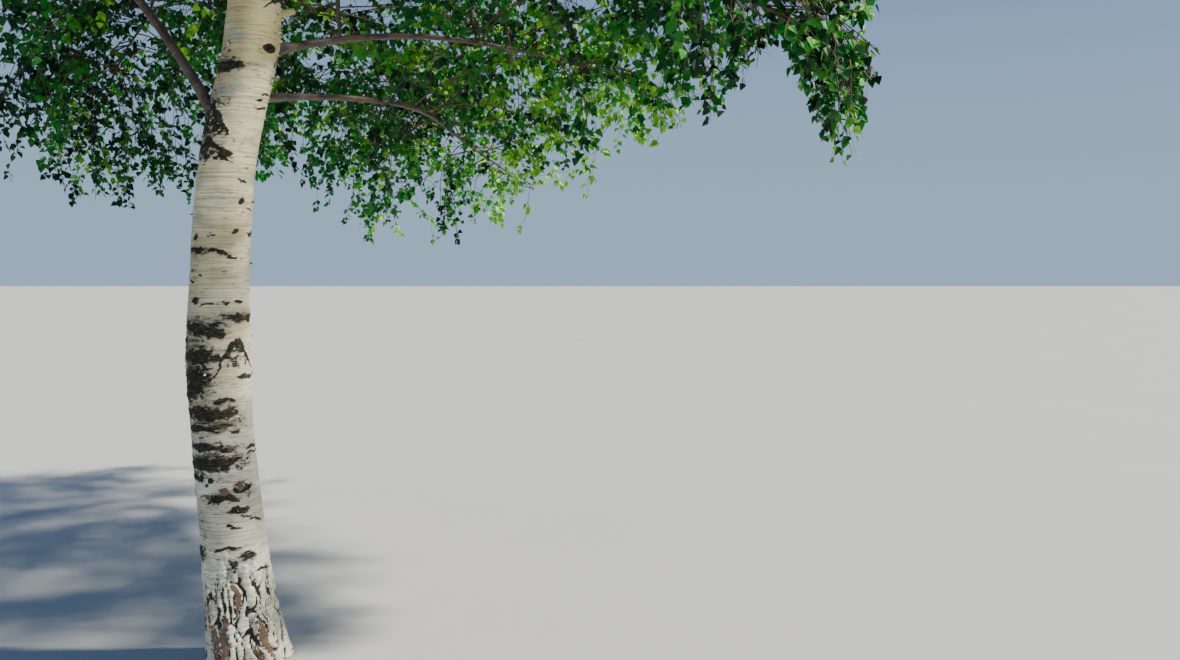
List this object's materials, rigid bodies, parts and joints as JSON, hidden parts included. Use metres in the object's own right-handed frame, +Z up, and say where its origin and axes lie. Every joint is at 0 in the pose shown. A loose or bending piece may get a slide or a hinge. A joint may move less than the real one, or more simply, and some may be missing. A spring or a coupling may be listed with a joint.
{
  "type": "silver birch tree",
  "caption": "Silver birch tree with a leaning white trunk, a flared foot, arching boughs and weeping masses of small leaves, cut flat at ground level.",
  "frame": {"origin": "middle of the flat cut under the trunk, at ground level", "axes": "+Z up, -Y towards the viewer of the picture, +X to the viewer's right"},
  "size_m": [7.507, 7.1162, 10.6119],
  "materials": {
    "white_bark": "matt creamy white papery bark with fine level lines, black bands and diamonds, and rough dark cracks at the foot",
    "brown_bark": "smooth dark red-brown bark with a slight sheen, dotted with pale pores",
    "leaves": "thin, softly glossy, fresh green, from deep green in shade to bright yellow-green"
  },
  "bodies": {
    "root": {"trunk": "white_bark", "bough_01": "brown_bark", "bough_02": "brown_bark", "bough_03": "brown_bark", "bough_04": "brown_bark", "bough_05": "brown_bark", "bough_06": "brown_bark", "bough_07": "brown_bark", "bough_08": "brown_bark", "bough_09": "brown_bark", "bough_10": "brown_bark", "bough_11": "brown_bark", "bough_12": "brown_bark", "bough_13": "brown_bark", "bough_14": "brown_bark", "bough_15": "brown_bark", "bough_16": "brown_bark", "bough_17": "brown_bark", "bough_18": "brown_bark", "bough_19": "brown_bark", "bough_20": "brown_bark", "bough_21": "brown_bark", "bough_22": "brown_bark", "bough_23": "brown_bark", "bough_24": "brown_bark", "bough_25": "brown_bark", "bough_26": "brown_bark", "foliage_01": "leaves", "foliage_02": "leaves", "foliage_03": "leaves", "foliage_04": "leaves", "foliage_05": "leaves", "foliage_06": "leaves", "foliage_07": "leaves", "foliage_08": "leaves", "foliage_09": "leaves", "foliage_10": "leaves", "foliage_11": "leaves", "foliage_12": "leaves", "foliage_13": "leaves", "foliage_14": "leaves", "foliage_15": "leaves", "foliage_16": "leaves", "foliage_17": "leaves", "foliage_18": "leaves", "foliage_19": "leaves", "foliage_20": "leaves", "foliage_21": "leaves", "foliage_22": "leaves", "foliage_23": "leaves", "foliage_24": "leaves", "foliage_25": "leaves", "foliage_26": "leaves", "foliage_top": "leaves"}
  },
  "joints": []
}
